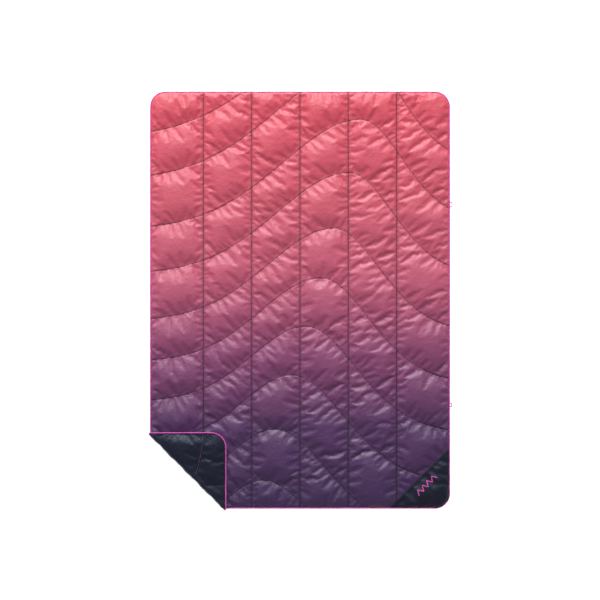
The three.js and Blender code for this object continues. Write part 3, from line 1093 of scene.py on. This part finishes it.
class AddSeams(bpy.types.Operator):
    """Adds the stitches of the straight and wave seams, on both faces where the corner is turned over"""

    bl_idname = "blanket.add_seams"
    bl_label = "Quilting seams"

    def execute(self, context):
        net = quilt["net"]
        for node in COLUMNS + WAVES:
            row = self.chain(net, node, 1)
            piece = stitched(node.replace("seam", "stitches"), quilt["front"][row], UP, finish_of("thread"))
            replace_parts(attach(piece, BLANKET), node)
        for node in FLAP_SEAMS:
            row = self.chain(net, node, -1)
            name = node.replace("seam", "stitches")
            over = sagged(laid_over(quilt["back"][row]), quilt["cut"][row])
            shown = stitched(name, over, UP, finish_of("dull"))
            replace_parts(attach(shown, CORNER), node)
            under = sagged(laid_over(quilt["front"][row]), quilt["cut"][row])
            hidden = stitched(name + "_front", under, -UP, finish_of("thread"))
            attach(hidden, CORNER)
            self.round_the_fold(name + "_fold", row)
        return {"FINISHED"}

    def round_the_fold(self, name, row):
        """The stitches that carry a seam of the turned corner round the outside of the fold."""
        fold = quilt["cut"][quilt["fold_points"]]
        gaps = np.linalg.norm(fold[:, None] - quilt["cut"][row][None], axis=2)
        strip = quilt["back_cloth_fold"][:, int(gaps.min(1).argmin())]
        low, high = strip[0, 2], strip[-1, 2]
        height = (strip[:, 2] - (low + high) / 2) / ((high - low) / 2)
        side = np.sqrt(np.maximum(1 - height ** 2, 0)) * math.sqrt(0.5)
        outward = np.stack([-side, -side, height], 1)
        outward /= np.linalg.norm(outward, axis=1, keepdims=True)
        piece = stitched(name, strip, outward, finish_of("dull"))
        blend_round_fold(piece, *quilt["fold_heights"])

    def chain(self, net, node, side):
        """The cloth points that a seam holds, within its real length and on its own side of the fold."""
        route = seam_route(node)
        key = 1 if "column" in node else 0
        low, high = route[:, key].min(), route[:, key].max()
        points, past_end, off_fold = [], 0.003, 0.004
        for i, j in net["chains"][node]:
            number = int(net["number"][i, j])
            if number < 0 or number in points[-1:]:
                continue
            place = quilt["cut"][number]
            within = low - past_end <= place[key] <= high + past_end
            if within and side * past_fold(*place) > off_fold:
                points.append(number)
        return points


class AddPatch(bpy.types.Operator):
    """Adds the dark corner patch, its stitching and its embroidered zigzag"""

    bl_idname = "blanket.add_patch"
    bl_label = "Corner patch"

    def execute(self, context):
        net, cut = quilt["net"], quilt["cut"]
        row = net["patch_row"]
        grid = spread_grid(net, quilt["front"][:, 2], settings("edge").tape_middle)
        calm = mixed(grid, smoothed(grid, 5), 0.6)[net["inside"]]
        surface = quilt["front"].copy()
        surface[:, 2] = np.maximum(calm, surface[:, 2]) + 0.0009  # on the front cloth, bridging its seams
        faces = net_faces(net, lambda i, j: i - j >= row and i > net["i"].max() // 2)
        patch = cloth_piece("patch_cloth", surface, cut, faces, finish_of("patch"))
        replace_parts(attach(patch, BLANKET), "corner_patch")
        self.hem(net, surface, row)
        self.edge_stitches(patch)
        self.motif(patch)
        return {"FINISHED"}

    def hem(self, net, surface, row):
        """The patch's turned-in long edge, a soft roll of the same cloth."""
        line = [int(net["number"][i, i - row]) for i in range(row, net["number"].shape[0])
                if net["number"][i, i - row] >= 0]
        route = surface[line[1:-1]] + [0, 0, 0.0001]
        roll = rounded_section(0.003, 0.0016, 0.8, 8)
        hem = add_piece("patch_hem", *swept(route, roll), finish_of("patch"))
        opened = [(v.co.x + v.co.z, v.co.y + 0.3 * v.co.z) for v in hem.data.vertices]
        add_cut_map(hem, np.array(opened))
        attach(hem, BLANKET)

    def on_patch(self, patch, flat, rise):
        """Points dropped onto the patch from above."""
        corners, faces = [v.co for v in patch.data.vertices], [p.vertices for p in patch.data.polygons]
        tree = BVHTree.FromPolygons(corners, faces)
        dropped = []
        for x, y in flat:
            hit = tree.ray_cast(Vector((x, y, 0.2)), Vector((0, 0, -1)))[0]
            if hit is not None:
                dropped.append([x, y, hit.z + rise])
        return np.array(dropped)

    def edge_stitches(self, patch):
        """The row of stitches along the patch's long edge."""
        low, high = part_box("patch_stitching")
        flat = resampled(np.array([[low.x, low.y], [high.x, high.y]]), 0.003)
        piece = stitched("patch_stitches", self.on_patch(patch, flat, 0.0002), UP, finish_of("thread"))
        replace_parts(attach(piece, BLANKET), "patch_stitching")

    def motif(self, patch):
        """A plain embroidered zigzag along the patch's long edge."""
        stitch = settings("stitch")
        low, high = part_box("patch_motif")
        centre, diagonal = (low + high) / 2, math.sqrt(0.5)
        height = 0.022
        length = (high.x - low.x) * math.sqrt(2) - height
        zigzag = []
        for k in range(2 * stitch.motif_peaks + 1):
            along = (k / (2 * stitch.motif_peaks) - 0.5) * length
            across = (0.5 if k % 2 else -0.5) * height
            zigzag.append([centre.x + (along - across) * diagonal, centre.y + (along + across) * diagonal])
        route = self.on_patch(patch, resampled(np.array(zigzag), 0.0012), 0.0005)
        section = rounded_section(stitch.motif_stroke, 0.0018, 0.9, 10)
        piece = add_piece("patch_zigzag", *swept(route, section), finish_of("bright"))
        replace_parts(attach(piece, BLANKET), "patch_motif")


class AddLoops(bpy.types.Operator):
    """Adds the two hanging loops at the side"""

    bl_idname = "blanket.add_loops"
    bl_label = "Side loops"

    def execute(self, context):
        edge = settings("edge")
        section = rounded_section(edge.loop_tape, edge.loop_thickness, 0.6)
        for name in ("side_loop_upper", "side_loop_lower"):
            low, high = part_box(name)
            half = (high.y - low.y - edge.loop_tape) / 2
            reach = high.x - edge.loop_tape / 2
            middle, root = (low.y + high.y) / 2, HALF_WIDTH - 0.003
            r = 0.0035  # of the loop's outer bends
            path = [(root, middle - half)]
            for sy, first in ((-1, -math.pi / 2), (1, 0.0)):
                for k in range(7):
                    turn = first + math.pi / 2 * k / 6
                    x, y = reach - r + r * math.cos(turn), middle + sy * (half - r) + r * math.sin(turn)
                    path.append((x, y))
            path.append((root, middle + half))
            flat = resampled(np.array(path), 0.0012)
            rise = 0.0006 * np.sin(np.linspace(0, math.pi, len(flat)))
            route = np.column_stack([flat, edge.tape_middle + rise])
            piece = add_piece(name + "_tape", *swept(route, section), finish_of("tape"))
            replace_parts(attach(piece, BLANKET), name)
        return {"FINISHED"}


class AddStage(bpy.types.Operator):
    """Adds the floor, the lights and the camera straight above"""

    bl_idname = "blanket.add_stage"
    bl_label = "Studio"

    def execute(self, context):
        stage = settings("stage")
        scene = context.scene
        self.floor()
        self.softbox("key_softbox", (-0.7, 5.8, 4.7), (4.0, 2.0), stage.key_power)
        self.softbox("top_softbox", (0.0, 0.0, 4.0), (4.0, 4.0), stage.top_power)
        world = bpy.data.worlds.new("room")
        world.use_nodes = True
        nodes, links = world.node_tree.nodes, world.node_tree.links
        apart = nodes.new("ShaderNodeSeparateXYZ")
        links.new(nodes.new("ShaderNodeTexCoord").outputs["Generated"], apart.inputs[0])
        room = colour_steps(nodes, [(0.15, (1.0, 1.0, 1.0)), (0.4, (stage.sky,) * 3)])
        links.new(apart.outputs["Z"], room.inputs["Fac"])
        links.new(room.outputs["Color"], nodes["Background"].inputs["Color"])
        scene.world = world
        scene.view_settings.view_transform = "Standard"
        camera = bpy.data.objects.new("camera", bpy.data.cameras.new("camera"))
        camera.data.lens = stage.lens
        camera.data.clip_end = 100
        middle = Vector((0, 0, CAD_BOX[1].z / 2))
        away = stage.view_width * stage.lens / camera.data.sensor_width
        camera.location = middle + Vector((0, 0, away))
        scene.collection.objects.link(camera)
        scene.camera = camera
        return {"FINISHED"}

    def floor(self):
        """A wide plain floor, just under the blanket."""
        half, gap, steps = 30.0, 0.0008, 8
        at = np.linspace(-half, half, steps + 1)
        points = [[x, y, -gap] for x in at for y in at]
        n = steps + 1
        faces = [
            [i * n + j, (i + 1) * n + j, (i + 1) * n + j + 1, i * n + j + 1]
            for i in range(steps) for j in range(steps)
        ]
        add_piece("floor", points, faces, finish_of("floor"))

    def softbox(self, name, place, size, power):
        """A rectangular area light at place, aimed at the middle of the blanket."""
        light = bpy.data.lights.new(name, "AREA")
        light.shape = "RECTANGLE"
        light.size, light.size_y = size
        light.energy = power
        holder = bpy.data.objects.new(name, light)
        holder.location = place
        holder.rotation_euler = (Vector((0, 0, 0)) - Vector(place)).to_track_quat("-Z", "Y").to_euler()
        bpy.context.scene.collection.objects.link(holder)


class BLANKET_PT_build(bpy.types.Panel):
    """Lists the settings and the steps that build the blanket"""

    bl_label = "Quilted blanket"
    bl_space_type = "VIEW_3D"
    bl_region_type = "UI"
    bl_category = "Blanket"

    def draw(self, context):
        for name, group in SETTINGS.items():
            box = self.layout.box()
            for field in group.__annotations__:
                box.prop(getattr(context.scene, name), field)
        for step in STEPS:
            self.layout.operator(step.bl_idname)


STEPS = (LiftCloth, AddStage, AddClothShells, AddFill, AddBinding, AddSeams, AddPatch, AddLoops)


def register():
    for group in SETTINGS.values():
        bpy.utils.register_class(group)
    for name, group in SETTINGS.items():
        setattr(bpy.types.Scene, name, bpy.props.PointerProperty(type=group))
    for item in (*STEPS, BLANKET_PT_build):
        bpy.utils.register_class(item)


def unregister():
    for item in reversed((*STEPS, BLANKET_PT_build)):
        bpy.utils.unregister_class(item)
    for name in SETTINGS:
        delattr(bpy.types.Scene, name)
    for group in reversed(list(SETTINGS.values())):
        bpy.utils.unregister_class(group)


def main():
    register()
    for step in STEPS:
        group, action = step.bl_idname.split(".")
        getattr(getattr(bpy.ops, group), action)()
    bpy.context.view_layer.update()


if __name__ == "__main__":
    main()
